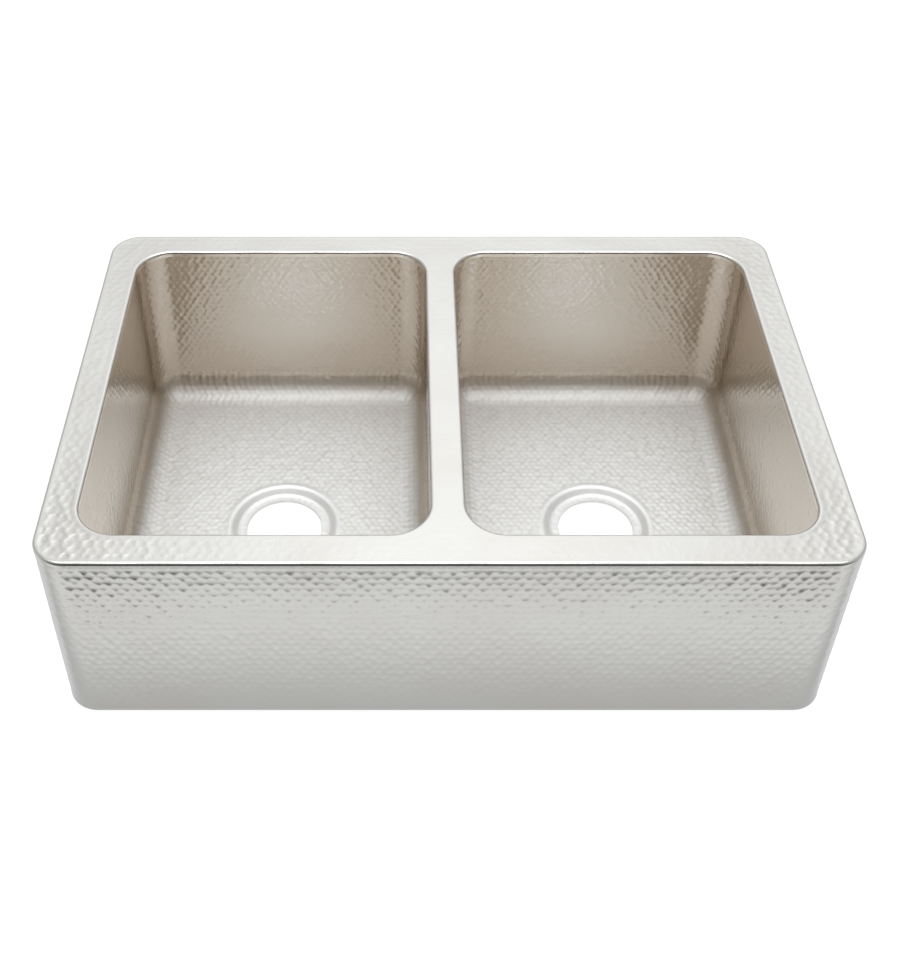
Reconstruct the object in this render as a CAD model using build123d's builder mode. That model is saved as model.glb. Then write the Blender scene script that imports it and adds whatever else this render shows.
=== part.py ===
"""Farmhouse apron front sink with two equal bowls, fabricated from hammered sheet.

The frame: +X is to the right, +Y runs from the apron to the back, +Z is up.
The origin is at the centre of the footprint, on the plane that the sink stands on.
All sizes are in millimetres.
"""

from build123d import *

import os
from math import radians, tan

# ---------------------------------------------------------------- overall size
sink_width = 838.0              # 33 inch
sink_depth = 559.0              # 22 inch
sink_height = 245.0
outer_corner_radius = 36.0      # plan corners of the deck and the skirts

# ---------------------------------------------------------------- sheet and its bends
sheet = 1.6                     # 16 gauge
bend_radius = 3.0               # outside radius of a folded edge; its hidden inside is square
turned_edge = 7.0               # how far the deck's edges are turned down
bottom_return = 14.0            # skirt sheet folded inwards along the bottom
base_chamfer = 1.2              # ground off the skirts' lower edge

# ---------------------------------------------------------------- skirt seams
apron_return = 26.0             # straight run of the apron past its rounded corner
rear_return = 26.0              # straight run of the rear skirt past its rounded corner

# ---------------------------------------------------------------- bowl openings in the deck
front_rim = 40.0                # deck in front of the bowls
side_rim = 38.0                 # deck beside each bowl
divider_rim = 36.0              # deck between the bowls
rear_rim = 36.5                 # deck behind the bowls

# ---------------------------------------------------------------- bowls
bowl_radius = 35.0              # inside radius of the upright corners and of the floor cove
opening_ease = 8.0              # corners of the openings are this much rounder than the bowls'
wall_flange = 10.0              # width of the flange welded under the deck
lip_clearance = 0.3             # between the deck's turned lip and the bowl wall
pan_upstand = 3.0               # straight run of the floor pan above its cove

# ---------------------------------------------------------------- drains
drain_hole_radius = 46.5        # takes a 3 1/2 inch basket strainer
drain_ledge_radius = 57.5       # the strainer's flange rests on this ledge
drain_recess_depth = 7.5        # bowl floor to ledge
drain_recess_slope = 45.0       # degrees that the recess opens upwards
drain_forward = 12.5            # drain centre ahead of the bowl centre
drain_inward = 4.5              # drain centre nearer the divider than the bowl centre
drain_clearance = 1.9           # ledge underside to the plane that the sink stands on

# ---------------------------------------------------------------- worked out from the above
opening_width = (sink_width - 2 * side_rim - divider_rim) / 2
opening_length = sink_depth - front_rim - rear_rim
bowl_x = (opening_width + divider_rim) / 2
bowl_y = -sink_depth / 2 + front_rim + opening_length / 2
opening_corner_radius = bowl_radius + opening_ease
drain_x = bowl_x - drain_inward
drain_y = bowl_y - drain_forward

skirt_top = sink_height - turned_edge
bowl_top = sink_height - sheet
ledge_top = drain_clearance + sheet
bowl_floor = ledge_top + drain_recess_depth
wall_seam = bowl_floor + bowl_radius + pan_upstand
wall_setback = sheet + lip_clearance
bowl_width = opening_width + 2 * wall_setback
bowl_length = opening_length + 2 * wall_setback

sides = {"left": -1, "right": 1}


def bowl_outline(growth):
    """Plan of a bowl's inside, moved out all round by growth."""
    RectangleRounded(bowl_width + 2 * growth, bowl_length + 2 * growth, bowl_radius + growth)


def bowl_block(side, growth):
    """Solid of one bowl's inside, with every face moved out by growth."""
    floor_level = bowl_floor - growth
    mitre = growth * tan(radians(drain_recess_slope / 2))
    with BuildPart() as block:
        with BuildSketch(Plane.XY.offset(floor_level)):
            with Locations((side * bowl_x, bowl_y)):
                bowl_outline(growth)
        extrude(amount=bowl_top - floor_level)
        fillet(block.edges().group_by(Axis.Z)[0], bowl_radius + growth)
        with BuildSketch(Plane.XY.offset(ledge_top - growth)):
            with Locations((side * drain_x, drain_y)):
                Circle(drain_ledge_radius + mitre)
        extrude(amount=drain_recess_depth, taper=-drain_recess_slope)
    return block.part


def bowl_skin(side):
    """One bowl in sheet, with its flange and its drain hole, before it is parted at the seam."""
    with BuildPart() as skin:
        add(bowl_block(side, sheet))
        with BuildSketch(Plane.XY.offset(bowl_top - sheet)):
            with Locations((side * bowl_x, bowl_y)):
                bowl_outline(sheet + wall_flange)
        extrude(amount=sheet)
        add(bowl_block(side, 0), mode=Mode.SUBTRACT)
        with BuildSketch(Plane.XY.offset(drain_clearance)):
            with Locations((side * drain_x, drain_y)):
                Circle(drain_hole_radius)
        extrude(amount=sheet, mode=Mode.SUBTRACT)
    return skin.part


def skirt_ring():
    """The four skirts as one folded ring, before it is parted at the seams."""
    with BuildPart() as ring:
        with BuildSketch():
            RectangleRounded(sink_width, sink_depth, outer_corner_radius)
        extrude(amount=skirt_top)
        offset(amount=-sheet, openings=ring.faces().sort_by(Axis.Z)[-1])
        chamfer(ring.edges().group_by(Axis.Z)[0], base_chamfer)
        with BuildSketch():
            RectangleRounded(
                sink_width - 2 * bottom_return,
                sink_depth - 2 * bottom_return,
                outer_corner_radius - bottom_return,
            )
        extrude(amount=skirt_top, mode=Mode.SUBTRACT)
    return ring.part


os.makedirs("parts", exist_ok=True)

# ---------------------------------------------------------------- deck
with BuildPart() as deck:
    with BuildSketch(Plane.XY.offset(skirt_top)):
        RectangleRounded(sink_width, sink_depth, outer_corner_radius)
        with Locations((-bowl_x, bowl_y), (bowl_x, bowl_y)):
            RectangleRounded(
                opening_width,
                opening_length,
                opening_corner_radius,
                mode=Mode.SUBTRACT,
            )
    extrude(amount=turned_edge)
    offset(amount=-sheet, openings=deck.faces().sort_by(Axis.Z)[0])
    fillet(deck.edges().group_by(Axis.Z)[-1], bend_radius)
deck.part.label = "deck"
export_step(deck.part, "parts/deck.step")

# ---------------------------------------------------------------- skirts
ring = skirt_ring()
apron_seam = Plane.XZ.offset(sink_depth / 2 - outer_corner_radius - apron_return)
rear_seam = Plane.XZ.offset(-sink_depth / 2 + outer_corner_radius + rear_return)

with BuildPart() as front_apron:
    add(ring)
    split(bisect_by=apron_seam, keep=Keep.TOP)
front_apron.part.label = "front_apron"
export_step(front_apron.part, "parts/front_apron.step")

with BuildPart() as rear_skirt:
    add(ring)
    split(bisect_by=rear_seam, keep=Keep.BOTTOM)
rear_skirt.part.label = "rear_skirt"
export_step(rear_skirt.part, "parts/rear_skirt.step")

for name, side in sides.items():
    with BuildPart() as side_skirt:
        add(ring)
        split(bisect_by=apron_seam, keep=Keep.BOTTOM)
        split(bisect_by=rear_seam, keep=Keep.TOP)
        split(bisect_by=Plane.YZ, keep=Keep.TOP if side > 0 else Keep.BOTTOM)
    side_skirt.part.label = f"{name}_skirt"
    export_step(side_skirt.part, f"parts/{name}_skirt.step")

# ---------------------------------------------------------------- bowls
for name, side in sides.items():
    skin = bowl_skin(side)

    with BuildPart() as bowl_wall:
        add(skin)
        split(bisect_by=Plane.XY.offset(wall_seam), keep=Keep.TOP)
    bowl_wall.part.label = f"{name}_bowl_wall"
    export_step(bowl_wall.part, f"parts/{name}_bowl_wall.step")

    with BuildPart() as bowl_floor_pan:
        add(skin)
        split(bisect_by=Plane.XY.offset(wall_seam), keep=Keep.BOTTOM)
    bowl_floor_pan.part.label = f"{name}_bowl_floor"
    export_step(bowl_floor_pan.part, f"parts/{name}_bowl_floor.step")
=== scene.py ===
"""Looks of a farmhouse apron front sink: two bowls, a deck and four skirts of hammered satin sheet.

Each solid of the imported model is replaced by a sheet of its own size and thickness, whose
hammer marks are real dents. Lengths are in metres: +X is right, +Y runs from the apron to the back.
"""

import logging
import math
from collections.abc import Callable, Sequence
from dataclasses import dataclass, field, replace
from enum import Enum

import bmesh
import bpy
import numpy as np
from mathutils import Euler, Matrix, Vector
from mathutils.kdtree import KDTree


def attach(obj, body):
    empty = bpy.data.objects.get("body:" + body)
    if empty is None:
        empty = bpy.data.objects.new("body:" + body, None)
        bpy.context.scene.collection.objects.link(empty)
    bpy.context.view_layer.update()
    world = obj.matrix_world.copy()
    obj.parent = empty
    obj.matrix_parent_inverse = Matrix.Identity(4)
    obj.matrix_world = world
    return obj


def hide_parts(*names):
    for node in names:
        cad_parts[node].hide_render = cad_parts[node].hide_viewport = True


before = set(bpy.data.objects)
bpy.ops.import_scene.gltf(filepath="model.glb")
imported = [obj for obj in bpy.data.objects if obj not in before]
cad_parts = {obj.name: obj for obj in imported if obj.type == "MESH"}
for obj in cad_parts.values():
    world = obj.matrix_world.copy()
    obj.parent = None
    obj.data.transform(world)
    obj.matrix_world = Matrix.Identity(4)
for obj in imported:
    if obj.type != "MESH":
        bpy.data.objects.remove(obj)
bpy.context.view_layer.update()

LOG = logging.getLogger("sink")
QUARTER = math.pi / 2
MERGE = 1e-5            # vertices nearer than this are one
ON_FACE = 5e-5          # a vertex this near to a face lies on it
ON_LEVEL = 1e-4         # an open edge this near to a level or a seam lies on it
SKIN = 0.0012           # a face less deep than this in the sheet is on its shown side
CLEAR = 0.75            # a grid's squares nearer than this to what it joins are left out, in steps
BRIDGED = 2.2           # the gap that this leaves is narrower than this, in steps
NEAREST = 4             # marks that can shape the metal at one point
SHARP = math.radians(35)
HAMMERED = "hammered"   # vertex group that says how deep the dents are
MARK = "mark"           # attribute: depth of the hammer mark, 0 to 1
RIDGE = "ridge"         # attribute: height of the ridge between marks, 0 to 1
PAINTED_SHADE = "painted_shade"           # attribute: painted shade in a bowl's rear corners, at the foot of its walls and beside its side walls, 0 to 1
SANDED_AND_LIT = "sanded_and_lit"       # attribute: how far the metal is sanded to a rougher finish and painted near white as if lit from above, 0 to 1

Span = tuple[float, float]      # where something starts to fade in or out, and where that ends
Noise = tuple[float, float]     # its scale and its detail


# ---------------------------------------------------------------- sizes
@dataclass(frozen=True)
class SinkSizes:
    """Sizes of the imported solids, which the dressed sheets keep."""

    width: float = 0.838
    depth: float = 0.559
    height: float = 0.245
    corner: float = 0.036
    sheet: float = 0.0016
    bend: float = 0.003
    turned_edge: float = 0.007
    bottom_return: float = 0.014
    base_chamfer: float = 0.0012
    seam_return: float = 0.026
    front_rim: float = 0.040
    side_rim: float = 0.038
    divider_rim: float = 0.036
    rear_rim: float = 0.0365
    bowl_radius: float = 0.035
    opening_ease: float = 0.008
    wall_flange: float = 0.010
    lip_clearance: float = 0.0003
    pan_upstand: float = 0.003
    hole: float = 0.0465
    ledge: float = 0.0575
    recess: float = 0.0075
    recess_slope: float = math.radians(45)
    drain_forward: float = 0.0125
    drain_inward: float = 0.0045
    drain_clearance: float = 0.0019

    @property
    def skirt_top(self) -> float:
        """Height of the seam between the skirts and the deck."""
        return self.height - self.turned_edge

    @property
    def ledge_top(self) -> float:
        """Height of the ledge round a drain hole."""
        return self.drain_clearance + self.sheet

    @property
    def floor(self) -> float:
        """Height of the bowl floors."""
        return self.ledge_top + self.recess

    @property
    def wall_seam(self) -> float:
        """Height of the seam between a bowl's walls and its floor pan."""
        return self.floor + self.bowl_radius + self.pan_upstand

    @property
    def opening(self) -> tuple[float, float]:
        """Width and length of an opening in the deck."""
        return (
            (self.width - 2 * self.side_rim - self.divider_rim) / 2,
            self.depth - self.front_rim - self.rear_rim,
        )

    def bowl_centre(self, side: int) -> tuple[float, float]:
        """Plan centre of a bowl, side being -1 on the left and 1 on the right."""
        width, length = self.opening
        return side * (width + self.divider_rim) / 2, -self.depth / 2 + self.front_rim + length / 2

    def drain_centre(self, side: int) -> tuple[float, float]:
        """Plan centre of a bowl's drain hole."""
        x, y = self.bowl_centre(side)
        return x - side * self.drain_inward, y - self.drain_forward


SINK = SinkSizes()


class Side(Enum):
    """The two bowls and the two side skirts."""

    LEFT = -1
    RIGHT = 1

    @property
    def label(self) -> str:
        """The side's name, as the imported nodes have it."""
        return self.name.lower()


# ---------------------------------------------------------------- plan outlines
@dataclass(frozen=True)
class Leg:
    """One straight run or one quarter turn of a route, seen in plan."""

    steps: int
    offset: tuple[float, float] | None = None
    centre: tuple[float, float] | None = None


@dataclass(frozen=True)
class Outline:
    """A rounded rectangle in plan, run through counterclockwise from the rear of its left side."""

    x: float
    y: float
    half_x: float
    half_y: float
    radius: float

    def inset(self, amount: float) -> "Outline":
        """The outline drawn in all round by an amount."""
        return replace(self, half_x=self.half_x - amount, half_y=self.half_y - amount,
                       radius=max(self.radius - amount, 0.0))

    def runs(self) -> tuple[float, float]:
        """Lengths of the straight sides, along x and along y."""
        return 2 * (self.half_x - self.radius), 2 * (self.half_y - self.radius)

    def length(self) -> float:
        """Length once round."""
        return 2 * sum(self.runs()) + 4 * QUARTER * self.radius

    def corner(self, right: bool, rear: bool) -> tuple[float, float]:
        """Centre of one rounded corner."""
        return (
            self.x + (1 if right else -1) * (self.half_x - self.radius),
            self.y + (1 if rear else -1) * (self.half_y - self.radius),
        )

    def quarter(self, step: float) -> list[Leg]:
        """A quarter of the way round, from the middle of the left side to the middle of the front.

        Args:
            step: Length of one step, before it is rounded to fit each leg.

        Returns:
            Half a side, the corner and half the front.
        """
        across, along = self.runs()
        return [
            Leg(round(along / 2 / step), offset=(0, -along / 2)),
            Leg(round(QUARTER * self.radius / step), centre=self.corner(False, False)),
            Leg(round(across / 2 / step), offset=(across / 2, 0)),
        ]

    def at(self, travel: float) -> tuple[float, float]:
        """The plan point at a distance round from the rear of the left side."""
        across, along = self.runs()
        arc = QUARTER * self.radius
        travel %= self.length()
        starts = [
            ((-1, 0), (0, -1), along, (False, False), math.pi),
            ((0, -1), (1, 0), across, (True, False), -QUARTER),
            ((1, 0), (0, 1), along, (True, True), 0.0),
            ((0, 1), (-1, 0), across, (False, True), QUARTER),
        ]
        for out, heading, run, corner, angle in starts:
            if travel <= run:
                back = travel - run / 2
                return (
                    self.x + out[0] * self.half_x + heading[0] * back,
                    self.y + out[1] * self.half_y + heading[1] * back,
                )
            travel -= run
            if travel <= arc and self.radius > 0:
                turned = angle + travel / self.radius
                cx, cy = self.corner(*corner)
                return cx + self.radius * math.cos(turned), cy + self.radius * math.sin(turned)
            travel -= arc
        return self.at(0.0)

    def reach(self, points: np.ndarray) -> np.ndarray:
        """Distance of plan points outside the outline, negative inside."""
        spread = np.abs(points[:, :2] - (self.x, self.y)) - (
            self.half_x - self.radius, self.half_y - self.radius)
        outside = np.linalg.norm(np.maximum(spread, 0), axis=1)
        return outside + np.minimum(spread.max(axis=1), 0) - self.radius


OUTER = Outline(0, 0, SINK.width / 2, SINK.depth / 2, SINK.corner)
SQUARE = replace(OUTER, radius=0)


def opening_outline(side: int) -> Outline:
    """Plan of an opening in the deck."""
    width, length = SINK.opening
    return Outline(*SINK.bowl_centre(side), width / 2, length / 2, SINK.bowl_radius + SINK.opening_ease)


def bowl_outline(side: int) -> Outline:
    """Plan of a bowl's inside."""
    width, length = SINK.opening
    setback = SINK.sheet + SINK.lip_clearance
    return Outline(*SINK.bowl_centre(side), width / 2 + setback, length / 2 + setback, SINK.bowl_radius)


OPENINGS = [opening_outline(side.value) for side in Side]


def inland(points: np.ndarray) -> np.ndarray:
    """Distance of plan points from the deck's nearest edge, negative off the deck."""
    return np.min([-OUTER.reach(points), *(plan.reach(points) for plan in OPENINGS)], axis=0)


# ---------------------------------------------------------------- modelling bench
def deselect_all() -> None:
    """Leaves edit mode and drops the selection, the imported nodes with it."""
    if bpy.context.object is not None and bpy.context.object.mode != "OBJECT":
        bpy.ops.object.mode_set(mode="OBJECT")
    bpy.ops.object.select_all(action="DESELECT")


def pick(piece: bpy.types.Object) -> None:
    """Makes a piece the active one, and the only one selected."""
    deselect_all()
    piece.select_set(True)
    bpy.context.view_layer.objects.active = piece


def edit(action: str) -> None:
    """Has the active piece in edit mode, with all of it selected (SELECT) or none (DESELECT)."""
    bpy.ops.object.mode_set(mode="EDIT")
    bpy.ops.mesh.select_all(action=action)


def settle() -> None:
    """Puts the active piece's origin at the world's, and leaves its mesh where it is."""
    bpy.ops.object.transform_apply(location=True, rotation=False, scale=False)


def triples(elements: bpy.types.bpy_prop_collection, name: str) -> np.ndarray:
    """A property of a mesh's vertices or faces, as rows of x, y, z."""
    flat = np.empty(len(elements) * 3, np.float32)
    elements.foreach_get(name, flat)
    return flat.reshape(-1, 3).astype(float)


def vertices(piece: bpy.types.Object) -> np.ndarray:
    """The places of a piece's vertices."""
    return triples(piece.data.vertices, "co")


class SheetBench:
    """Edit-mode bench on which one sheet is drawn in section, swept and closed."""

    def __init__(self, name: str, base_x: float, start_y: float, out: int) -> None:
        """Sets up a section plane across the left or the right side of an outline.

        Args:
            name: Name of the new piece.
            base_x: Where the outline crosses the section plane, which is u = 0.
            start_y: Where the section plane stands.
            out: Direction of u along x, 1 or -1.
        """
        self.name = name
        self.base_x = base_x
        self.start_y = start_y
        self.out = out
        self.pen = (0.0, 0.0)
        self.piece: bpy.types.Object | None = None

    def place(self, u: float, z: float) -> Vector:
        """The point of the section plane at u and z."""
        return Vector((self.base_x + self.out * u, self.start_y, z))

    def begin(self, u: float, z: float) -> None:
        """Puts the pen down: a small plane, merged to the section's first vertex."""
        deselect_all()
        bpy.ops.mesh.primitive_plane_add(size=SINK.sheet, location=self.place(u, z))
        self.piece = bpy.context.object
        self.piece.name = self.piece.data.name = self.name
        edit("SELECT")
        bpy.ops.mesh.merge(type="CENTER")
        self.pen = (u, z)

    def line_to(self, u: float, z: float, steps: int) -> None:
        """Draws the section straight on to u and z in equal steps."""
        du, dz = u - self.pen[0], z - self.pen[1]
        bpy.ops.mesh.extrude_repeat(steps=steps, offset=(self.out * du / steps, 0, dz / steps))
        self.pen = (u, z)

    def lines_to(self, *corners: tuple[float, float, int]) -> None:
        """Draws the section straight on from corner to corner, each given as u, z and steps."""
        for corner in corners:
            self.line_to(*corner)

    def arc(self, centre: tuple[float, float], angle: float, steps: int) -> None:
        """Draws the section on round a bend.

        Args:
            centre: u and z of the bend's centre.
            angle: Turn in radians, positive from u towards z.
            steps: Steps in the bend.
        """
        axis = Vector((self.out, 0, 0)).cross(Vector((0, 0, 1)))
        self.spin(self.place(*centre), axis, angle, steps)
        du, dz = self.pen[0] - centre[0], self.pen[1] - centre[1]
        cos, sin = math.cos(angle), math.sin(angle)
        self.pen = (centre[0] + du * cos - dz * sin, centre[1] + du * sin + dz * cos)

    @staticmethod
    def spin(centre: Sequence[float], axis: Sequence[float], angle: float, steps: int) -> None:
        """Spins the selection right-handed about an axis; the operator itself turns the other way."""
        bpy.ops.mesh.spin(steps=steps, angle=-angle, center=centre, axis=axis, dupli=False)

    def follow(self, legs: Sequence[Leg]) -> None:
        """Sweeps the drawn section along a route."""
        edit("SELECT")
        for leg in legs:
            if leg.offset is not None:
                step = [length / leg.steps for length in leg.offset]
                bpy.ops.mesh.extrude_repeat(steps=leg.steps, offset=(*step, 0))
            else:
                self.spin((*leg.centre, 0), (0, 0, 1), QUARTER, leg.steps)

    def revolve(self, centre: tuple[float, float], steps: int) -> None:
        """Turns the drawn section once round an upright axis."""
        edit("SELECT")
        self.spin((*centre, 0), (0, 0, 1), 2 * math.pi, steps)

    def leave(self) -> bpy.types.Object:
        """Merges the seams, goes back to object mode and puts the origin at the world's."""
        edit("SELECT")
        bpy.ops.mesh.remove_doubles(threshold=MERGE)
        bpy.ops.object.mode_set(mode="OBJECT")
        settle()
        return self.piece


def mirrored(piece: bpy.types.Object, across_x: bool, across_y: bool) -> bpy.types.Object:
    """Completes a half or a quarter of a piece by mirroring it about the origin."""
    pick(piece)
    mirror = piece.modifiers.new("mirror", "MIRROR")
    mirror.use_axis = (across_x, across_y, False)
    mirror.merge_threshold = MERGE
    bpy.ops.object.modifier_apply(modifier=mirror.name)
    return piece


def shifted(piece: bpy.types.Object, x: float, y: float) -> bpy.types.Object:
    """Moves a piece's mesh in plan, and leaves its origin where it is."""
    pick(piece)
    piece.location = (x, y, 0)
    settle()
    return piece


def sweep_round(bench: SheetBench, plan: Outline, step: float) -> bpy.types.Object:
    """Sweeps a drawn section a quarter of the way round an outline, and mirrors that to the whole."""
    bench.follow(replace(plan, x=0, y=0).quarter(step))
    return shifted(mirrored(bench.leave(), True, True), plan.x, plan.y)


def flat_grid(name: str, plan: Outline, level: float, cells: tuple[int, int],
              drop: Callable[[np.ndarray], np.ndarray]) -> bpy.types.Object:
    """A level grid of small squares, with some of them taken out.

    Args:
        name: Name of the new piece.
        plan: Rectangle that the grid fills.
        level: Its height.
        cells: Squares along x and along y.
        drop: Takes the squares' centres and says which are taken out.

    Returns:
        The grid, open at its edges.
    """
    deselect_all()
    bpy.ops.mesh.primitive_grid_add(x_subdivisions=cells[0], y_subdivisions=cells[1], size=1,
                                    location=(plan.x, plan.y, level))
    grid = bpy.context.object
    grid.name = grid.data.name = name
    edit("SELECT")
    bpy.ops.transform.resize(value=(2 * plan.half_x, 2 * plan.half_y, 1))
    bpy.ops.object.mode_set(mode="OBJECT")
    settle()
    chosen = drop(triples(grid.data.polygons, "center"))
    edit("DESELECT")
    bpy.ops.mesh.select_mode(type="FACE")
    work = bmesh.from_edit_mesh(grid.data)
    for face, taken in zip(work.faces, chosen):
        face.select_set(bool(taken))
    bpy.ops.mesh.delete(type="FACE")
    bpy.ops.mesh.select_mode(type="VERT")
    bpy.ops.object.mode_set(mode="OBJECT")
    return grid


def join(first: bpy.types.Object, *others: bpy.types.Object) -> bpy.types.Object:
    """Joins pieces into the first and opens it in edit mode, with shared vertices merged."""
    deselect_all()
    for piece in (first, *others):
        piece.select_set(True)
    bpy.context.view_layer.objects.active = first
    bpy.ops.object.join()
    edit("SELECT")
    bpy.ops.mesh.remove_doubles(threshold=MERGE)
    return first


def select_open(piece: bpy.types.Object, rule: Callable[[Vector], bool]) -> None:
    """Selects the open edges whose ends both keep a rule, in edit mode."""
    edit("DESELECT")
    work = bmesh.from_edit_mesh(piece.data)
    for edge in work.edges:
        if edge.is_boundary and all(rule(vertex.co) for vertex in edge.verts):
            edge.select_set(True)


def fill_between(piece: bpy.types.Object, rule: Callable[[Vector], bool]) -> None:
    """Fills the open edges whose ends both keep a rule, in edit mode."""
    select_open(piece, rule)
    bpy.ops.mesh.fill(use_beauty=True)


def fill_level(piece: bpy.types.Object, level: float) -> None:
    """Fills the open edges that lie on a level, in edit mode."""
    fill_between(piece, lambda at: abs(at.z - level) < ON_LEVEL)


def close_shell(piece: bpy.types.Object) -> None:
    """Turns a closed sheet's faces outwards and goes back to object mode."""
    edit("SELECT")
    bpy.ops.mesh.normals_make_consistent(inside=False)
    bpy.ops.object.mode_set(mode="OBJECT")
    work = bmesh.new()
    work.from_mesh(piece.data)
    open_edges = sum(not edge.is_manifold for edge in work.edges)
    work.free()
    piece.data.calc_loop_triangles()
    LOG.info("%s: %d triangles, %d open edges", piece.name, len(piece.data.loop_triangles), open_edges)


# ---------------------------------------------------------------- hammer marks
@dataclass(frozen=True)
class HammerWork:
    """How one part of the sink was hammered."""

    pitch: float            # between marks of a row
    row: float              # between rows
    depth: float            # of a full mark
    profile: float          # 2 for a round dent, more for a flatter one with a steeper rim
    scatter: float = 0.09   # how far a mark strays along its row, as a share of the pitch
    across: float = 0.7     # how far it strays across its row, as a share of that
    uneven: float = 0.3     # how much lighter the lightest marks are
    soften: float = 0.05    # rounding of the ridges between marks
    spread: float = 0.62    # a mark's reach, as a share of the pitch


def smooth_between(values: np.ndarray, low: float, high: float) -> np.ndarray:
    """Rises smoothly from 0 at low to 1 at high."""
    share = np.clip((values - low) / (high - low), 0, 1)
    return share * share * (3 - 2 * share)


@dataclass
class MarkField:
    """The places where the hammer fell, and the dents that they leave."""

    work: HammerWork
    seed: int
    centres: list[tuple[float, float, float]] = field(default_factory=list)
    weights: list[float] = field(default_factory=list)

    def __post_init__(self) -> None:
        """Starts the field's own random draws."""
        self.draw = np.random.RandomState(self.seed)

    def add(self, x: float, y: float, z: float) -> None:
        """One mark, a little lighter or fuller than the last."""
        self.centres.append((x, y, z))
        self.weights.append(1 - self.work.uneven * self.draw.random_sample())

    def ring(self, plan: Outline, level: float, number: int) -> None:
        """A row of marks once round an outline.

        Args:
            plan: The outline.
            level: Height of the row.
            number: Which row this is; odd ones are set over by half a mark.
        """
        length = plan.length()
        many = max(3, round(length / self.work.pitch))
        stray = self.draw.normal(0, self.work.scatter * self.work.pitch, (many, 2))
        for mark in range(many):
            travel = (mark + 0.5 * (number % 2)) * length / many + stray[mark, 0]
            x, y = plan.at(travel)
            self.add(x, y, level + self.work.across * stray[mark, 1])

    def field_rows(self, plan: Outline, level: float, keep: Callable[[float, float], bool]) -> None:
        """Rows of marks along x over a flat.

        Args:
            plan: Rectangle that the rows fill.
            level: Height of the flat.
            keep: Says whether the hammer fell at x and y.
        """
        rows = round(2 * plan.half_y / self.work.row)
        many = round(2 * plan.half_x / self.work.pitch)
        for row in range(rows + 1):
            stray = self.draw.normal(0, self.work.scatter * self.work.pitch, (many + 1, 2))
            for mark in range(many + 1):
                x = plan.x - plan.half_x + (mark + 0.5 * (row % 2)) * 2 * plan.half_x / many
                y = plan.y - plan.half_y + row * 2 * plan.half_y / rows
                if keep(x, y):
                    self.add(x + stray[mark, 0], y + self.work.across * stray[mark, 1], level)

    def dents(self, points: np.ndarray) -> np.ndarray:
        """How deep the marks are pressed at points, as a share of a full mark."""
        tree = KDTree(len(self.centres))
        for number, centre in enumerate(self.centres):
            tree.insert(centre, number)
        tree.balance()
        reach = self.work.spread * self.work.pitch
        found = np.empty((len(points), NEAREST))
        for row, point in enumerate(points):
            for column, (_, number, distance) in enumerate(tree.find_n(point, NEAREST)):
                found[row, column] = (distance / reach) ** self.work.profile - self.weights[number]
        soften = self.work.soften
        lowest = found.min(axis=1)
        blended = lowest - soften * np.log(
            np.exp(-(found - lowest[:, None]) / soften).sum(axis=1))
        return np.clip(-blended, 0, None)


@dataclass(frozen=True)
class Sway:
    """Slow waviness of a beaten sheet."""

    depth: float
    length: float
    seed: int
    waves: int = 7
    shortest: float = 0.6       # as a share of the length
    longest: float = 1.6

    def over(self, points: np.ndarray) -> np.ndarray:
        """Depth of the waves at points, from 0 to the full depth."""
        draw = np.random.RandomState(self.seed)
        total = np.zeros(len(points))
        for _ in range(self.waves):
            direction = draw.normal(size=3)
            length = self.length * draw.uniform(self.shortest, self.longest)
            direction *= 2 * math.pi / length / np.linalg.norm(direction)
            total += np.sin(points @ direction + draw.uniform(0, 2 * math.pi))
        return self.depth * np.clip(0.5 + total / self.waves, 0, 1)


def keep(piece: bpy.types.Object, name: str, values: np.ndarray) -> None:
    """Keeps a number from 0 to 1 at each vertex, for the finish."""
    kept = piece.data.attributes.new(name, "FLOAT", "POINT")
    kept.data.foreach_set("value", np.clip(values, 0, 1).astype(np.float32))


def press(piece: bpy.types.Object, marks: MarkField, share: np.ndarray, sway: Sway,
          slack: np.ndarray) -> None:
    """Dents a piece's shown face and keeps how deep each mark is for the finish.

    Args:
        piece: The sheet, closed and in object mode.
        marks: Where the hammer fell.
        share: For each vertex, how much of a full mark it takes, 0 off the shown face.
        sway: Slow waviness of the sheet.
        slack: For each vertex, how much of the waviness it takes.
    """
    points = vertices(piece)
    inside = np.nonzero(share > 0)[0]
    marked = np.zeros(len(points))
    marked[inside] = marks.dents(points[inside])
    depth = share * marked * marks.work.depth + slack * sway.over(points)
    deepest = float(depth.max())
    group = piece.vertex_groups.new(name=HAMMERED)
    for vertex in np.nonzero(depth > 0)[0]:
        group.add([int(vertex)], float(depth[vertex]) / deepest, "REPLACE")
    keep(piece, MARK, marked * share)
    keep(piece, RIDGE, (1 - marked) * share)
    pick(piece)
    dent = piece.modifiers.new("hammer", "DISPLACE")
    dent.direction = "NORMAL"
    dent.mid_level = 0
    dent.strength = -deepest
    dent.vertex_group = HAMMERED
    bpy.ops.object.modifier_apply(modifier=dent.name)
    piece.vertex_groups.remove(piece.vertex_groups[HAMMERED])


def flatten(piece: bpy.types.Object, chosen: np.ndarray, level: float) -> None:
    """Puts the chosen vertices of a piece back on one level."""
    edit("DESELECT")
    work = bmesh.from_edit_mesh(piece.data)
    work.verts.ensure_lookup_table()
    for vertex in np.nonzero(chosen)[0]:
        work.verts[vertex].select_set(True)
    bpy.ops.transform.resize(value=(1, 1, 0), center_override=(0, 0, level))
    bpy.ops.object.mode_set(mode="OBJECT")


# ---------------------------------------------------------------- shader maths
Stops = Sequence[tuple[float, float]]
Colour = tuple[float, float, float, float]


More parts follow.
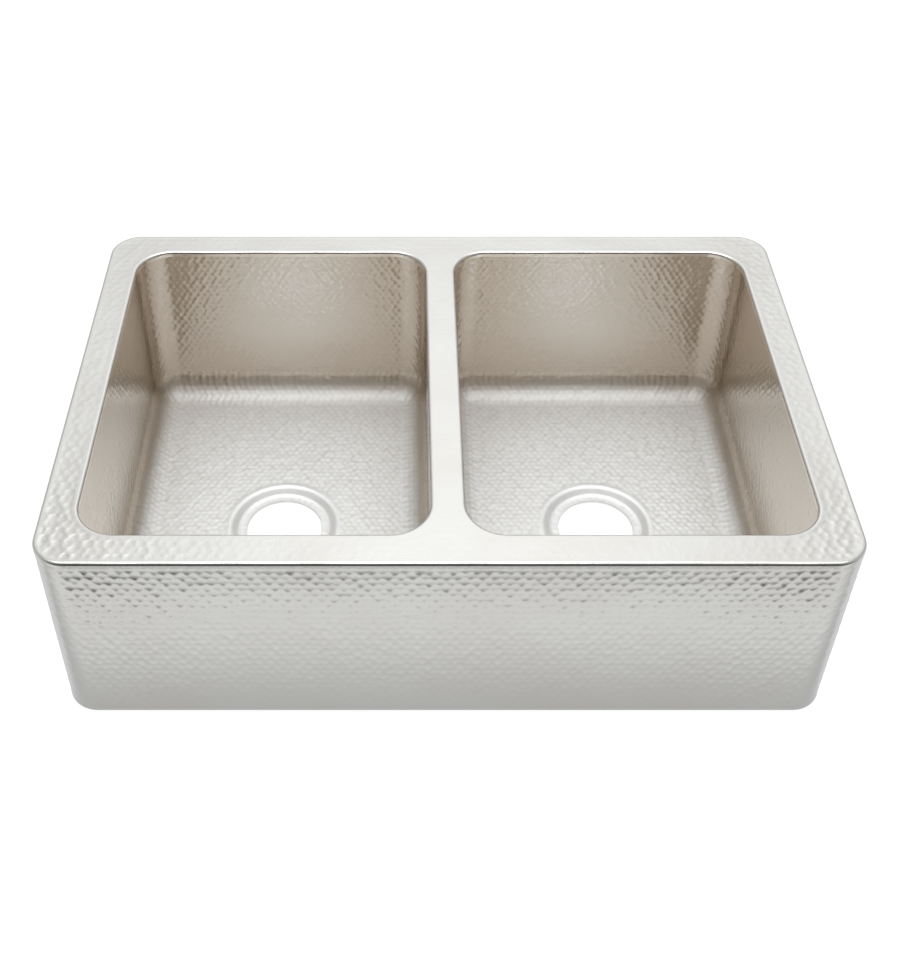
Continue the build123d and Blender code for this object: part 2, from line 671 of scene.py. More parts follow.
class Value:
    """A node socket that adds its Math nodes when it is used in an expression."""

    def __init__(self, tree: "NodeBench", socket: bpy.types.NodeSocket) -> None:
        """Wraps a socket of a tree."""
        self.tree = tree
        self.socket = socket

    def math(self, operation: str, *others: "Value | float",
             first: "Value | float | None" = None) -> "Value":
        """A Math node on this value and others."""
        inputs = [self, *others] if first is None else [first, self]
        return self.tree.node("ShaderNodeMath", {"operation": operation}, dict(enumerate(inputs)))

    def __add__(self, other: "Value | float") -> "Value":
        """This plus other."""
        return self.math("ADD", other)

    def __radd__(self, other: float) -> "Value":
        """A number plus this."""
        return self.math("ADD", first=other)

    def __sub__(self, other: "Value | float") -> "Value":
        """This less other."""
        return self.math("SUBTRACT", other)

    def __rsub__(self, other: float) -> "Value":
        """A number less this."""
        return self.math("SUBTRACT", first=other)

    def __mul__(self, other: "Value | float") -> "Value":
        """This times other."""
        return self.math("MULTIPLY", other)

    def __truediv__(self, other: "Value | float") -> "Value":
        """This over other."""
        return self.math("DIVIDE", other)

    def __neg__(self) -> "Value":
        """This with its sign turned."""
        return self.math("MULTIPLY", -1.0)

    def between(self, low: float, high: float) -> "Value":
        """Rises smoothly from 0 at low to 1 at high."""
        return self.tree.node("ShaderNodeMapRange", {"interpolation_type": "SMOOTHSTEP"},
                              {"Value": self, "From Min": low, "From Max": high})

    def along(self, stops: Stops) -> "Value":
        """The level that a row of stops gives for this, straight from stop to stop."""
        start, end = stops[0][0], stops[-1][0]
        top = max(level for _, level in stops)
        greys = [((at - start) / (end - start), (level / top,) * 3 + (1,)) for at, level in stops]
        share = (self - start) * (1 / (end - start))
        return self.tree.node("ShaderNodeValToRGB", {"stops": greys}, {"Fac": share}) * top

    def other(self, output: str) -> "Value":
        """Another output of the node that this comes from."""
        return Value(self.tree, self.socket.node.outputs[output])


class NodeBench:
    """A node tree that is written as expressions."""

    def __init__(self, tree: bpy.types.NodeTree) -> None:
        """Empties a tree and takes it over."""
        self.tree = tree
        tree.nodes.clear()

    def node(self, kind: str, settings: dict[str, object], inputs: dict[object, object],
             output: int | str = 0) -> Value:
        """Adds one node.

        Args:
            kind: The node's type.
            settings: Its properties, which are set first; a ramp's stops are given as "stops".
            inputs: Values or links for its sockets, by name or number.
            output: Which of its outputs is wanted.

        Returns:
            That output, ready for an expression, or an empty value for a node that has none.
        """
        made = self.tree.nodes.new(kind)
        for name, setting in settings.items():
            if name != "stops":
                setattr(made, name, setting)
                continue
            stops = made.color_ramp.elements
            for number, (position, colour) in enumerate(setting):
                stop = stops[number] if number < 2 else stops.new(position)
                stop.position, stop.color = position, colour
        for name, value in inputs.items():
            socket = made.inputs[name]
            if isinstance(value, Value):
                self.tree.links.new(value.socket, socket)
            else:
                socket.default_value = value
        return Value(self, made.outputs[output] if made.outputs else None)

    def mix_colour(self, share: Value | float, first: Value | Colour, second: Value | Colour) -> Value:
        """A colour between two others."""
        return self.node("ShaderNodeMix", {"data_type": "RGBA"}, {0: share, 6: first, 7: second}, 2)


# ---------------------------------------------------------------- finishes
class MetalBench(NodeBench):
    """The nodes of one metal finish."""

    def __init__(self, name: str) -> None:
        """Starts a new material."""
        self.material = bpy.data.materials.new(name)
        self.material.use_nodes = True
        super().__init__(self.material.node_tree)
        self.where = self.node("ShaderNodeTexCoord", {}, {}, "Object")

    def noise(self, noise: Noise) -> Value:
        """Noise over the metal, from 0 to 1."""
        scale, detail = noise
        return self.node("ShaderNodeTexNoise", {},
                         {"Vector": self.where, "Scale": scale, "Detail": detail})

    def kept(self, name: str) -> Value:
        """A number that the piece keeps at each vertex."""
        return self.node("ShaderNodeAttribute", {"attribute_name": name}, {}, "Fac")

    def finish(self, colour: Value, metallic: Value | float, rough: Value,
               height: Value) -> bpy.types.Material:
        """Ends the material.

        Args:
            colour: Colour of the metal.
            metallic: 1 for bare metal, less where it scatters some of its light.
            rough: Its roughness.
            height: Fine relief in metres, too small to model.

        Returns:
            The material.
        """
        normal = self.node("ShaderNodeBump", {}, {"Height": height, "Strength": 1.0, "Distance": 1.0})
        shader = self.node("ShaderNodeBsdfPrincipled", {}, {
            "Base Color": colour, "Metallic": metallic, "Roughness": rough, "Normal": normal})
        self.node("ShaderNodeOutputMaterial", {}, {"Surface": shader})
        return self.material


@dataclass(frozen=True)
class HammeredFinish:
    """Satin metal with painted shade on the ridges between marks and in places, and a near-white painted
    light where it is sanded.
    """

    name: str
    metal: Colour = (0.828, 0.782, 0.727, 1)
    cloudy: Colour = (0.805, 0.752, 0.688, 1)
    # colour of the painted shade, for the bowls' corners and foot and for the ridges between marks
    toned: Colour = (0.66, 0.575, 0.485, 1)
    # near-white painted light for the sanded bowl floors, standing in for the light from above
    bright: Colour = (0.965, 0.940, 0.905, 1)
    roughness: float = 0.20
    matt: float = 0.0           # how much rougher the sanded part is
    frosted: float = 0.0        # how much of its light the sanded part scatters
    ridge_shade: float = 0.16        # painted shade: how much darker the ridges between marks are
    # painted shade: heavier in the marks and in spots, wherever a bowl keeps it
    toned_all_over: float = 0.35
    toned_in_marks: float = 0.7
    toned_in_spots: float = 0.5
    ragged: float = 0.2         # how uneven the edge of the sanded, painted-light part is
    mottling: float = 0.05
    polish: float = 0.05
    grain: float = 0.00004      # height of the scratches
    coarse: float = 3.0         # and of the speckle, in times that
    clouds: Noise = (9.0, 4.0)
    spots: Noise = (120.0, 2.0)
    speckle: Noise = (260.0, 3.0)
    scratches: Noise = (1400.0, 2.0)
    cloudy_from: Span = (0.35, 0.7)
    bared_and_lit_from: Span = (0.5, 1.0)
    matt_from: Span = (0.0, 0.8)

    def make(self) -> bpy.types.Material:
        """Builds the material."""
        bench = MetalBench(self.name)
        mark, ridge, painted_shade, sanded_and_lit = (bench.kept(name) for name in (MARK, RIDGE, PAINTED_SHADE, SANDED_AND_LIT))
        clouds, spots, speckle, scratches = (
            bench.noise(noise) for noise in (self.clouds, self.spots, self.speckle, self.scratches))
        plain = bench.mix_colour(clouds.between(*self.cloudy_from), self.metal, self.cloudy)
        # painted shade where the bowl keeps it, mottled by the marks and the spots
        shade_amount = mark * self.toned_in_marks + spots * self.toned_in_spots + self.toned_all_over
        # sanded part: rougher and partly scattering, and painted near white as if lit from above
        bared_and_lit = (sanded_and_lit + (spots - 0.5) * self.ragged).between(*self.bared_and_lit_from)
        colour = bench.mix_colour((painted_shade * shade_amount).math("MINIMUM", 1.0), plain, self.toned)
        colour = bench.mix_colour(bared_and_lit, colour, self.bright)
        # painted shade on the ridges between marks
        colour = bench.mix_colour(ridge * self.ridge_shade, colour, self.toned)
        rough = (self.roughness + (speckle - 0.5) * (2 * self.mottling) + (mark - 1) * self.polish
                 + sanded_and_lit.between(*self.matt_from) * self.matt)
        height = (speckle * self.coarse + scratches) * self.grain
        return bench.finish(colour, 1 - bared_and_lit * self.frosted, rough, height)


@dataclass(frozen=True)
class ReverseFinish:
    """The side of the sheet that no hand finishes: dull, with the marks showing through."""

    name: str = "reverse_side"
    metal: Colour = (0.66, 0.63, 0.59, 1)
    stained: Colour = (0.52, 0.48, 0.43, 1)
    roughness: float = 0.42
    unevenness: float = 0.2
    bump_depth: float = 0.0004
    bump_scale: float = 90.0
    bump_softness: float = 0.6
    grain: float = 0.00005
    grit: Noise = (700.0, 2.0)
    clouds: Noise = (14.0, 6.0)
    stained_from: Span = (0.4, 0.7)

    def make(self) -> bpy.types.Material:
        """Builds the material."""
        bench = MetalBench(self.name)
        clouds = bench.noise(self.clouds)
        inputs = {"Vector": bench.where, "Scale": self.bump_scale, "Smoothness": self.bump_softness}
        bumps = bench.node("ShaderNodeTexVoronoi", {"feature": "SMOOTH_F1"}, inputs, "Distance")
        colour = bench.mix_colour(clouds.between(*self.stained_from), self.metal, self.stained)
        rough = self.roughness + (clouds - 0.5) * self.unevenness
        height = bench.noise(self.grit) * self.grain - bumps * self.bump_depth
        return bench.finish(colour, 1.0, rough, height)


def dress(piece: bpy.types.Object, node: str, shown: Callable[[np.ndarray], np.ndarray],
          front: bpy.types.Material, reverse: bpy.types.Material) -> None:
    """Gives a piece its two finishes, and its place in the frame.

    Args:
        piece: The finished mesh.
        node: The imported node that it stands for.
        shown: Takes face centres and says which faces are on the finished side.
        front: Finish of that side.
        reverse: Finish of the other.
    """
    bpy.ops.object.shade_smooth_by_angle(angle=SHARP)
    mesh = piece.data
    mesh.materials.append(front)
    mesh.materials.append(reverse)
    sides = np.where(shown(triples(mesh.polygons, "center")), 0, 1)
    mesh.polygons.foreach_set("material_index", sides.astype(np.int32))
    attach(piece, "root")
    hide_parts(node)
    LOG.info("%s stands for %s", piece.name, node)


# ---------------------------------------------------------------- skirts
@dataclass
class Skirts:
    """The four skirts: one hammered ring of sheet, parted at four upright seams."""

    front: bpy.types.Material
    reverse: bpy.types.Material
    fine_step: float = 0.00165
    plain_step: float = 0.0021
    work: HammerWork = HammerWork(pitch=0.0115, row=0.0086, depth=0.00098, profile=2.5)
    sway: Sway = Sway(depth=0.00022, length=0.11, seed=3)
    marks_start: Span = (0.001, 0.008)      # heights between which the marks fade in
    waves_start: Span = (0.001, 0.010)      # and the waves
    waves_end: float = 0.012                # the waves fade out this far below the deck's seam
    less_at_corners: float = 0.6
    corner_span: Span = (-0.004, 0.010)     # past the ends of the straight runs
    less_in_middle: float = 0.36
    middle_span: Span = (-0.16, -0.03)      # before the ends of the front's run, and the back's

    def marks(self) -> MarkField:
        """Rows of marks once round the ring, from the deck's seam to the base."""
        marks = MarkField(self.work, seed=11)
        rows = round(SINK.skirt_top / self.work.row)
        for number in range(rows):
            marks.ring(OUTER, SINK.skirt_top - (number + 0.5) * SINK.skirt_top / rows, number)
        return marks

    def slack(self, points: np.ndarray) -> np.ndarray:
        """How much of the waviness the ring takes at points: none at its edges."""
        height = points[:, 2]
        on_face = np.abs(OUTER.reach(points)) < ON_FACE
        return on_face * smooth_between(height, *self.waves_start) * (
            1 - smooth_between(height, SINK.skirt_top - self.waves_end, SINK.skirt_top))

    def share(self, points: np.ndarray) -> np.ndarray:
        """How fully the ring is hammered: less in its corners and mid-front, none at its foot."""
        height = points[:, 2]
        on_face = (np.abs(OUTER.reach(points)) < ON_FACE) & (height < SINK.skirt_top - MERGE)
        spread = np.abs(points[:, :2]) - (SINK.width / 2 - SINK.corner, SINK.depth / 2 - SINK.corner)
        corner = smooth_between(spread.min(axis=1), *self.corner_span)
        middle = 1 - smooth_between(spread[:, 0], *self.middle_span)
        lighter = (1 - self.less_at_corners * corner) * (1 - self.less_in_middle * middle)
        return on_face * smooth_between(height, *self.marks_start) * lighter

    def section(self, bench: SheetBench, rows: int) -> None:
        """Draws the sheet's section, down the shown face and up the back."""
        inner = -SINK.sheet
        bench.begin(0, SINK.skirt_top)
        bench.lines_to(
            (0, SINK.base_chamfer, rows), (-SINK.base_chamfer, 0, 1), (-SINK.bottom_return, 0, 3),
            (-SINK.bottom_return, SINK.sheet, 1), (inner, SINK.sheet, 3), (inner, SINK.skirt_top, 10),
            (0, SINK.skirt_top, 1))

    def build(self, node: str, out: int, start_y: float, legs: list[Leg], step: float,
              marks: MarkField) -> None:
        """Makes, hammers and dresses one skirt, which is swept as a half and mirrored.

        Args:
            node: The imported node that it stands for.
            out: Side of the sink where the sweep starts, -1 left or 1 right.
            start_y: Where the sweep starts.
            legs: Its route, one leg for a side skirt.
            step: Size of the squares on its shown face.
            marks: The ring's marks.
        """
        bench = SheetBench(f"hammered_{node}", out * SINK.width / 2, start_y, out)
        self.section(bench, round((SINK.skirt_top - SINK.base_chamfer) / step))
        bench.follow(legs)
        wrapped = len(legs) > 1
        piece = mirrored(bench.leave(), wrapped, not wrapped)
        for sign in (-1, 1):
            across, along = (sign, start_y) if wrapped else (out, sign * start_y)
            select_open(piece, lambda at: abs(at.y - along) < ON_LEVEL and at.x * across > 0)
            bpy.ops.mesh.edge_face_add()
        close_shell(piece)
        points = vertices(piece)
        press(piece, marks, self.share(points), self.sway, self.slack(points))
        dress(piece, node, lambda at: OUTER.reach(at) > -SKIN, self.front, self.reverse)

    def make(self) -> None:
        """Builds the apron, the rear skirt and the two sides."""
        marks = self.marks()
        across, _ = OUTER.runs()
        straight = SINK.seam_return
        seam = SINK.depth / 2 - SINK.corner - straight
        for node, out, step in (("front_apron", -1, self.fine_step), ("rear_skirt", 1, self.plain_step)):
            legs = [
                Leg(round(straight / step), offset=(0, out * straight)),
                Leg(round(QUARTER * SINK.corner / self.fine_step), centre=OUTER.corner(out > 0, out > 0)),
                Leg(round(across / 2 / step), offset=(-out * across / 2, 0)),
            ]
            self.build(node, out, out * seam, legs, step, marks)
        for side in Side:
            out = side.value
            legs = [Leg(round(seam / self.plain_step), offset=(0, out * seam))]
            self.build(f"{side.label}_skirt", out, -out * seam, legs, self.plain_step, marks)


# ---------------------------------------------------------------- deck
Patch = tuple[float, tuple[float, float], tuple[float, float]]      # share, centre and reach


@dataclass
class Deck:
    """The deck: one sheet with two openings, its outer edge and both lips turned down."""

    front: bpy.types.Material
    reverse: bpy.types.Material
    step: float = 0.00172
    least: float = 0.08         # how fully it is hammered outside these patches
    patches: tuple[Patch, ...] = (      # the front left and right corners, and the right and left sides
        (0.50, (-0.40, -0.26), (0.14, 0.16)),
        (0.40, (0.40, -0.26), (0.07, 0.10)),
        (0.20, (0.40, 0.0), (0.05, math.inf)),
        (0.10, (-0.40, 0.0), (0.05, math.inf)),
    )
    bare_edge: Span = (0.0045, 0.009)   # the marks start between these, from an edge
    top_skin: float = 0.0013
    work: HammerWork = HammerWork(pitch=0.0105, row=0.0090, depth=0.00100, profile=2.6,
                                  scatter=0.13, uneven=0.45)
    sway: Sway = Sway(depth=0.00022, length=0.07, seed=5)

    def turned(self, name: str, plan: Outline, inward: int, rows: int) -> bpy.types.Object:
        """An edge bent down: the deck's own, or a lip round an opening.

        Args:
            name: Name of the piece.
            plan: The edge's outline.
            inward: 1 where the deck lies outside the outline, -1 where inside.
            rows: Rows of squares below the bend.

        Returns:
            The bent strip, open towards the deck's top and underside.
        """
        bench = SheetBench(name, -plan.half_x, 0, -1)
        flat = inward * SINK.bend
        bench.begin(flat, SINK.height)
        bench.arc((flat, SINK.height - SINK.bend), inward * QUARTER, 6)
        inner = inward * SINK.sheet
        bench.lines_to((0, SINK.skirt_top, rows), (inner, SINK.skirt_top, 1),
                       (inner, SINK.height - SINK.sheet, 1))
        return sweep_round(bench, plan, self.step)

    def slack(self, points: np.ndarray) -> np.ndarray:
        """How much of the waviness the deck takes at points: it fades to none round the bends."""
        height = points[:, 2]
        shown = height > SINK.height - SINK.sheet + ON_FACE
        return shown * smooth_between(height, SINK.height - SINK.sheet, SINK.height)

    def share(self, points: np.ndarray) -> np.ndarray:
        """How fully the deck is hammered at points: most at the front left, least at the back."""
        top = np.abs(points[:, 2] - SINK.height) < ON_FACE
        amount = np.full(len(points), self.least)
        for share, (x, y), (across, along) in self.patches:
            away = ((points[:, 0] - x) / across) ** 2 + ((points[:, 1] - y) / along) ** 2
            amount += share * np.exp(-away)
        return top * amount * smooth_between(inland(points), *self.bare_edge)

    def make(self) -> None:
        """Builds, hammers and dresses the deck."""
        rim = self.turned("hammered_deck", OUTER, -1, 4)
        lips = [self.turned(f"lip_{number}", plan, 1, 2) for number, plan in enumerate(OPENINGS)]
        clear = SINK.bend + CLEAR * self.step
        cells = (round(SINK.width / self.step), round(SINK.depth / self.step))
        top = flat_grid("deck_top", SQUARE, SINK.height, cells, lambda at: inland(at) < clear)
        piece = join(rim, top, *lips)
        near = SINK.bend + BRIDGED * self.step
        for plan in (OUTER, *OPENINGS):
            def by_edge(at: Vector, plan: Outline = plan) -> bool:
                """On the deck's top, close to this edge."""
                return at.z > SINK.height - ON_LEVEL and abs(plan.reach(np.array([at]))[0]) < near
            fill_between(piece, by_edge)
        fill_level(piece, SINK.height - SINK.sheet)
        close_shell(piece)
        marks = MarkField(self.work, seed=23)
        marks.field_rows(SQUARE, SINK.height, lambda x, y: True)
        points = vertices(piece)
        press(piece, marks, self.share(points), self.sway, self.slack(points))
        dress(piece, "deck", self.shown, self.front, self.reverse)

    def shown(self, centres: np.ndarray) -> np.ndarray:
        """Faces on the deck's top and on the outer sides of its turned edges."""
        return (inland(centres) < SINK.sheet / 2) | (centres[:, 2] > SINK.height - self.top_skin)


# ---------------------------------------------------------------- bowls
@dataclass
class Bowl:
    """One bowl: a band of wall with a flange at its top, and a pressed floor pan with its drain."""

    side: Side
    front: bpy.types.Material
    reverse: bpy.types.Material
    wall_step: float = 0.00195
    step: float = 0.00162
    drain_steps: int = 256
    mouth: float = 0.0685       # where the drain's own mesh ends in the floor
    rim_fade: Span = (0.006, 0.0018)    # the marks fade out between these, below the deck's top
    bare_ring: float = 0.004    # no mark on the floor is centred this near to the drain's step
    ring_fade: Span = (0.067, 0.075)    # they fade in between these, from the drain's centre
    ring: float = 0.0518        # radius of the row of marks on the ledge
    ledge_share: float = 0.5    # how fully the ledge is hammered
    hole_fade: float = 0.002    # its marks fade in this far from the hole
    ledge_fade: Span = (0.0545, 0.0575)     # and out between these, from the drain's centre
    mouth_bend: float = 0.0085  # how the drain's step is rounded at its top
    foot_bend: float = 0.0065   # and at its foot
    beyond_step: float = 0.003  # faces this near outside the step count as its own
    eased: float = 0.0004       # taken off the hole's upper edge
    # painted shade: in the rear corners, at the foot of the walls and beside the side walls
    toned_reach: float = 0.10   # how far the painted shade spreads from a rear corner
    toned_foot: float = 0.5
    foot_start: Span = (0.016, 0.030)   # heights
    foot_end: Span = (0.055, 0.125)
    toned_beside: float = 0.3
    beside: float = 0.02        # how near to a side wall
    sanded_and_lit_reach: float = 0.070     # how far up the cove and the wall the sanding and its painted light fade
    work: HammerWork = HammerWork(pitch=0.0086, row=0.0067, depth=0.00074, profile=2.4, soften=0.10)
    sway: Sway = Sway(depth=0.0004, length=0.09, seed=7)

    @property
    def plan(self) -> Outline:
        """Plan of the bowl's inside."""
        return bowl_outline(self.side.value)

    @property
    def cove_level(self) -> float:
        """Height of the top of the floor cove."""
        return SINK.floor + SINK.bowl_radius

    def marks(self) -> MarkField:
        """Rows round the walls and the cove, rows over the floor, and one ring on the ledge."""
        plan, work = self.plan, self.work
        marks = MarkField(work, seed=37 + self.side.value)
        height = SINK.height - self.cove_level
        rows = round(height / work.row)
        for number in range(rows):
            marks.ring(plan, SINK.height - (number + 0.5) * height / rows, number)
        bends = round(QUARTER * SINK.bowl_radius / work.row)
        for number in range(bends):
            angle = (number + 0.5) * QUARTER / bends
            drawn_in = SINK.bowl_radius * (1 - math.cos(angle))
            marks.ring(plan.inset(drawn_in), self.cove_level - SINK.bowl_radius * math.sin(angle),
                       rows + number)
        drain = SINK.drain_centre(self.side.value)
        bare = SINK.ledge + SINK.recess + self.bare_ring
        flat = plan.inset(SINK.bowl_radius)
        marks.field_rows(flat, SINK.floor,
                         lambda x, y: math.dist((x, y), drain) > bare)
        marks.ring(Outline(*drain, self.ring, self.ring, self.ring), SINK.ledge_top, 0)
        return marks

    def from_drain(self, points: np.ndarray) -> np.ndarray:
        """Plan distance of points from the centre of the drain."""
        return np.linalg.norm(points[:, :2] - SINK.drain_centre(self.side.value), axis=1)

    def depth(self, points: np.ndarray) -> np.ndarray:
        """How deep points are in the sheet of the wall, the cove and the floor."""
        reach = self.plan.reach(points)
        under = self.cove_level - points[:, 2]
        across = np.maximum(reach + SINK.bowl_radius, 0)
        return np.where(under > 0, np.hypot(across, under) - SINK.bowl_radius, reach)

    def share(self, points: np.ndarray) -> np.ndarray:
        """How fully the bowl is hammered at points: none at its mouth and round the drain."""
        height = points[:, 2]
        drain = self.from_drain(points)
        skin = np.abs(self.depth(points)) < ON_FACE
        ledge = (np.abs(height - SINK.ledge_top) < ON_FACE) & (drain < SINK.ledge)
        edge = 1 - smooth_between(height, *(SINK.height - below for below in self.rim_fade))
        ring = smooth_between(drain, *self.ring_fade)
        rim = smooth_between(drain, SINK.hole, SINK.hole + self.hole_fade) * (
            1 - smooth_between(drain, *self.ledge_fade))
        seam = np.where(self.on_seam(points), math.sqrt(2), 1.0)
        return np.where(ledge, self.ledge_share * rim, skin * edge * ring * seam)

    def on_seam(self, points: np.ndarray) -> np.ndarray:
        """Points on the seam's shown edge: they dent askew, then are put back on its level."""
        return (np.abs(points[:, 2] - SINK.wall_seam) < MERGE) & (np.abs(self.plan.reach(points)) < ON_FACE)

    def painted_shade(self, points: np.ndarray) -> np.ndarray:
        """How much painted shade the bowl takes: most in the rear corners, then at the foot of the walls
        and beside the side walls.
        """
        reach = [np.linalg.norm(points[:, :2] - self.plan.corner(right, True), axis=1)
                 for right in (False, True)]
        corner = sum(np.exp(-(far / self.toned_reach) ** 2) for far in reach)
        height = points[:, 2]
        foot = smooth_between(height, *self.foot_start) * (1 - smooth_between(height, *self.foot_end))
        away = np.abs(points[:, 0] - self.plan.x)
        beside = smooth_between(away, self.plan.half_x - self.beside, self.plan.half_x)
        return np.clip(corner + self.toned_foot * foot + self.toned_beside * beside, 0, 1)

    def climb(self, points: np.ndarray) -> np.ndarray:
        """How far points are up the cove and the wall, along the sheet, from the flat floor's edge."""
        rise = np.clip((points[:, 2] - SINK.floor) / SINK.bowl_radius, 0, None)
        cove = np.arccos(1 - np.minimum(rise, 1))
        return SINK.bowl_radius * (cove + np.maximum(rise - 1, 0))

    def sanded_and_lit(self, points: np.ndarray) -> np.ndarray:
        """How far the pan is sanded and painted near white as if lit from above: all of its floor, with a
        soft edge up the coves.
        """
        return 1 - smooth_between(self.climb(points), 0.0, self.sanded_and_lit_reach)

    def wall(self) -> bpy.types.Object:
        """The band of wall and its flange, as one closed sheet."""
        plan = self.plan
        top = SINK.height - SINK.sheet
        out = SINK.sheet + SINK.wall_flange
        bench = SheetBench(f"hammered_{self.side.label}_bowl_wall", -plan.half_x, 0, -1)
        bench.begin(0, SINK.wall_seam)
        bench.lines_to(
            (0, top, round((top - SINK.wall_seam) / self.wall_step)), (out, top, 2),
            (out, top - SINK.sheet, 1), (SINK.sheet, top - SINK.sheet, 2),
            (SINK.sheet, SINK.wall_seam, 8), (0, SINK.wall_seam, 1))
        piece = sweep_round(bench, plan, self.wall_step)
        close_shell(piece)
        return piece

    def drain(self) -> bpy.types.Object:
        """The recess round the hole: a rounded mouth, a step down and the ledge."""
        x, y = SINK.drain_centre(self.side.value)
        mouth, foot = self.mouth_bend, self.foot_bend
        slope = SINK.recess_slope
        tan = math.tan(slope / 2)
        rim = SINK.ledge + SINK.recess
        bench = SheetBench("drain", x, y, 1)
        bench.begin(self.mouth, SINK.floor)
        bench.line_to(rim + mouth * tan, SINK.floor, 1)
        bench.arc((rim + mouth * tan, SINK.floor - mouth), slope, 5)
        bench.line_to(SINK.ledge + foot * tan * math.cos(slope),
                      SINK.ledge_top + foot * tan * math.sin(slope), 1)
        bench.arc((SINK.ledge - foot * tan, SINK.ledge_top + foot), -slope, 5)
        mitre = SINK.sheet * tan
        bench.lines_to(
            (SINK.hole + self.eased, SINK.ledge_top, 5), (SINK.hole, SINK.ledge_top - self.eased, 1),
            (SINK.hole, SINK.drain_clearance, 1), (SINK.ledge + mitre, SINK.drain_clearance, 2),
            (rim + mitre, SINK.drain_clearance + SINK.recess, 2))
        bench.revolve((x, y), self.drain_steps)
        return bench.leave()

    def pan(self) -> bpy.types.Object:
        """The floor pan: coves, flat floor and drain, as one closed sheet."""
        plan, radius = self.plan, SINK.bowl_radius
        centre = (-radius, self.cove_level)
        bench = SheetBench(f"hammered_{self.side.label}_bowl_floor", -plan.half_x, 0, -1)
        bench.begin(-radius, SINK.floor)
        bench.arc(centre, QUARTER, round(QUARTER * radius / self.step))
        bench.lines_to((0, SINK.wall_seam, 2), (SINK.sheet, SINK.wall_seam, 1),
                       (SINK.sheet, self.cove_level, 1))
        bench.arc(centre, -QUARTER, 9)
        coves = sweep_round(bench, plan, self.step)
        across, along = plan.runs()
        cells = (2 * round(across / 2 / self.step), 2 * round(along / 2 / self.step))
        clear = self.mouth + CLEAR * self.step
        grid = flat_grid("floor", plan.inset(radius), SINK.floor, cells,
                         lambda at: self.from_drain(at) < clear)
        piece = join(coves, grid, self.drain())
        fill_level(piece, SINK.floor)
        fill_level(piece, SINK.floor - SINK.sheet)
        close_shell(piece)
        return piece

    def make(self) -> None:
        """Builds, hammers and dresses the wall and the floor pan."""
        marks = self.marks()
        for piece, node in ((self.wall(), "bowl_wall"), (self.pan(), "bowl_floor")):
            points = vertices(piece)
            share = self.share(points)
            press(piece, marks, share, self.sway, share)
            flatten(piece, self.on_seam(points), SINK.wall_seam)
            # painted shade in the corners, at the foot and beside the side walls
            keep(piece, PAINTED_SHADE, self.painted_shade(points))
            # sanding, with a near-white painted light on the floor and up the coves
            keep(piece, SANDED_AND_LIT, self.sanded_and_lit(points))
            dress(piece, f"{self.side.label}_{node}", self.shown, self.front, self.reverse)

    def shown(self, centres: np.ndarray) -> np.ndarray:
        """Faces on the bowl's inside, and the cut edge of the drain hole."""
        drain = self.from_drain(centres)
        step = SINK.ledge_top + np.clip(drain - SINK.ledge, 0, SINK.recess) - centres[:, 2]
        by_drain = drain < SINK.ledge + SINK.recess + self.beyond_step
        return np.where(by_drain, step < SKIN, self.depth(centres) < SKIN)


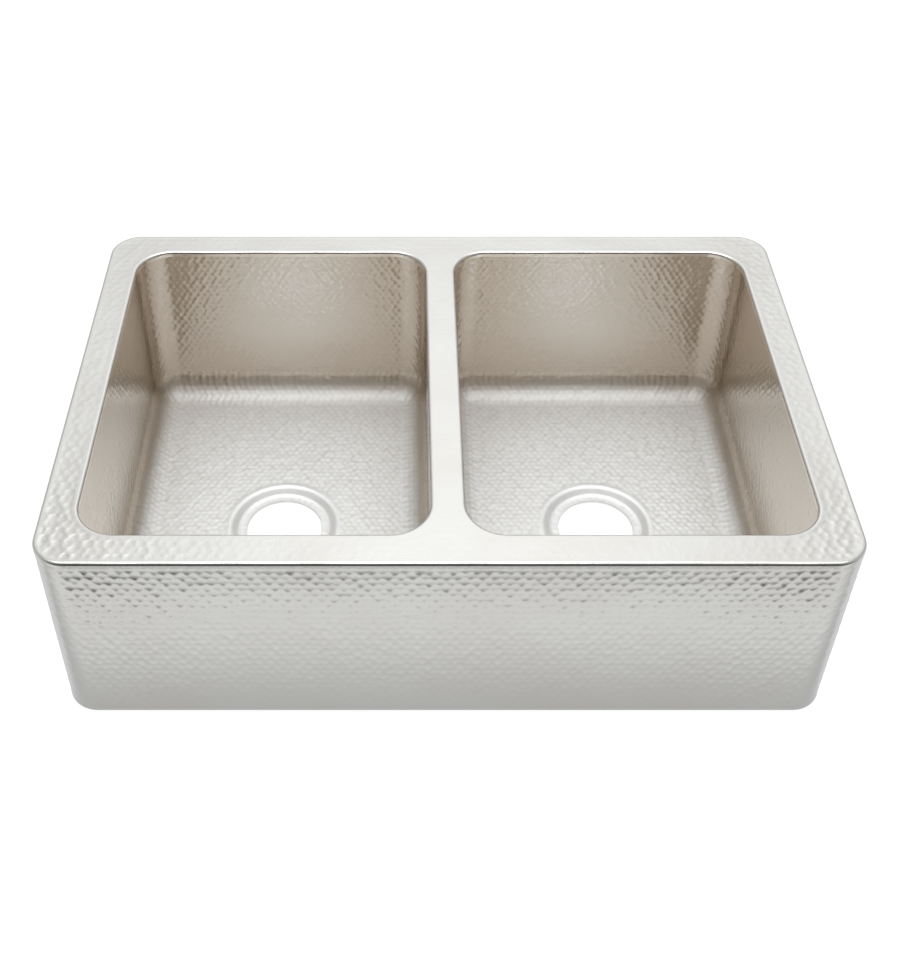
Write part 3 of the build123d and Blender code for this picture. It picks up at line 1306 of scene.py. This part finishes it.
# ---------------------------------------------------------------- studio
@dataclass(frozen=True)
class Studio:
    """White paper floor in a pale room whose softly lit screens stand above and all round."""

    floor_half: float = 4.0
    turn: float = math.radians(4)       # how far the room is turned from the sink
    rear_spread: float = 6.0            # the higher, the narrower is what stands behind
    front_spread: float = 2.0           # and what stands ahead
    # brightness of the room by degrees above the horizon, behind the sink, ahead of it and beside it
    rear: Stops = ((0, 0.67), (15, 0.67), (30, 0.90), (40, 1.12), (50, 1.18),
                   (60, 1.40), (72, 2.80), (90, 5.60))
    front: Stops = ((0, 0.04), (20, 0.06), (35, 0.30), (50, 0.45), (60, 0.50),
                    (68, 1.00), (78, 3.30), (90, 5.60))
    aside: Stops = ((0, 0.67), (15, 0.53), (30, 0.45), (40, 0.62), (50, 0.42),
                    (60, 0.85), (72, 2.60), (90, 5.60))
    # light that the paper gives off to all but camera rays, by metres ahead of the apron, as the sink
    # mirrors it: a painted glow, with a painted shadow where it dips just ahead of the apron
    paper_glow: Stops = ((-0.30, 0.74), (-0.03, 0.70), (0.00, 0.52), (0.03, 0.57), (0.07, 0.67), (0.12, 0.79),
                    (0.17, 0.83), (0.24, 0.41), (0.34, 0.12), (0.50, 0.06), (1.60, 0.04))
    tint: Colour = (0.953, 1.008, 1.055, 1)
    white: Colour = (1, 1, 1, 1)
    grey: Colour = (0.3, 0.3, 0.3, 1)   # the paper's own share of what the camera sees, with shadows
    veil: float = 0.83                  # light that the camera sees on the floor whatever falls there
    lens: float = 50.42
    shift: tuple[float, float] = (0.050, -0.0965)
    stand: tuple[float, float, float] = (-0.0475, -1.1545, 1.2519)
    tilt: float = math.radians(41.5)    # how far the camera looks down

    def floor(self) -> None:
        """The paper floor, white to the camera, which keeps the object's shadow; to all other rays it gives
        off a painted glow.
        """
        deselect_all()
        bpy.ops.mesh.primitive_plane_add(size=2 * self.floor_half, location=(0, 0, 0))
        floor = bpy.context.object
        floor.name = "paper_glow_floor"
        material = bpy.data.materials.new("white_paper")
        material.use_nodes = True
        bench = NodeBench(material.node_tree)
        where = bench.node("ShaderNodeTexCoord", {}, {}, "Object")
        y = bench.node("ShaderNodeSeparateXYZ", {}, {0: where}, "Y")
        camera = bench.node("ShaderNodeLightPath", {}, {}, "Is Camera Ray")
        level = (-y - SINK.depth / 2).along(self.paper_glow)
        plain = bench.node("ShaderNodeBsdfDiffuse", {}, {"Color": self.grey})
        glow = bench.node("ShaderNodeEmission", {}, {"Color": self.white, "Strength": self.veil})
        seen = bench.node("ShaderNodeAddShader", {}, {0: plain, 1: glow})
        # painted glow that the sink mirrors, with a painted shadow just ahead of the apron
        painted_glow = bench.node("ShaderNodeEmission", {}, {"Color": self.tint, "Strength": level})
        both = bench.node("ShaderNodeMixShader", {}, {0: camera, 1: painted_glow, 2: seen})
        bench.node("ShaderNodeOutputMaterial", {}, {"Surface": both})
        floor.data.materials.append(material)

    def surroundings(self) -> None:
        """The room by direction, and plain white where the camera looks straight at it."""
        world = bpy.data.worlds.new("studio")
        bpy.context.scene.world = world
        world.use_nodes = True
        bench = NodeBench(world.node_tree)
        where = bench.node("ShaderNodeTexCoord", {}, {}, "Generated")
        x = bench.node("ShaderNodeSeparateXYZ", {}, {0: where}, "X")
        y, z = x.other("Y"), x.other("Z")
        height = z.math("ARCSINE").math("DEGREES")
        ahead = y * math.cos(self.turn) + x * math.sin(self.turn)
        heading = ahead / (x * x + y * y).math("MAXIMUM", 1e-6).math("SQRT")
        back = heading.math("MAXIMUM", 0.0).math("POWER", self.rear_spread)
        fore = (-heading).math("MAXIMUM", 0.0).math("POWER", self.front_spread)
        aside = height.along(self.aside)
        screens = (aside + back * (height.along(self.rear) - aside)
                   + fore * (height.along(self.front) - aside))
        camera = bench.node("ShaderNodeLightPath", {}, {}, "Is Camera Ray")
        strength = screens + camera * (1 - screens)
        colour = bench.mix_colour(camera, self.tint, self.white)
        glow = bench.node("ShaderNodeBackground", {}, {"Color": colour, "Strength": strength})
        bench.node("ShaderNodeOutputWorld", {}, {"Surface": glow})

    def camera(self) -> None:
        """The photograph's viewpoint."""
        data = bpy.data.cameras.new("camera")
        data.sensor_width = 36
        data.lens = self.lens
        data.shift_x, data.shift_y = self.shift
        camera = bpy.data.objects.new("camera", data)
        bpy.context.scene.collection.objects.link(camera)
        camera.location = self.stand
        camera.rotation_euler = Euler((QUARTER - self.tilt, 0.0, 0.0))
        bpy.context.scene.camera = camera

    def make(self) -> None:
        """Sets up the whole studio."""
        self.floor()
        self.surroundings()
        self.camera()
        bpy.context.scene.view_settings.view_transform = "Standard"


def main() -> None:
    """Builds the sink sheet by sheet, then the studio round it."""
    logging.basicConfig(level=logging.INFO, format="%(relativeCreated)d %(message)s")
    outer = HammeredFinish("hammered_outer").make()
    inner = HammeredFinish("hammered_inner", roughness=0.24, matt=0.33, frosted=0.50, ridge_shade=0.42).make()
    reverse = ReverseFinish().make()
    Skirts(outer, reverse).make()
    Deck(outer, reverse).make()
    for side in Side:
        Bowl(side, inner, reverse).make()
    Studio().make()


if __name__ == "__main__":
    main()
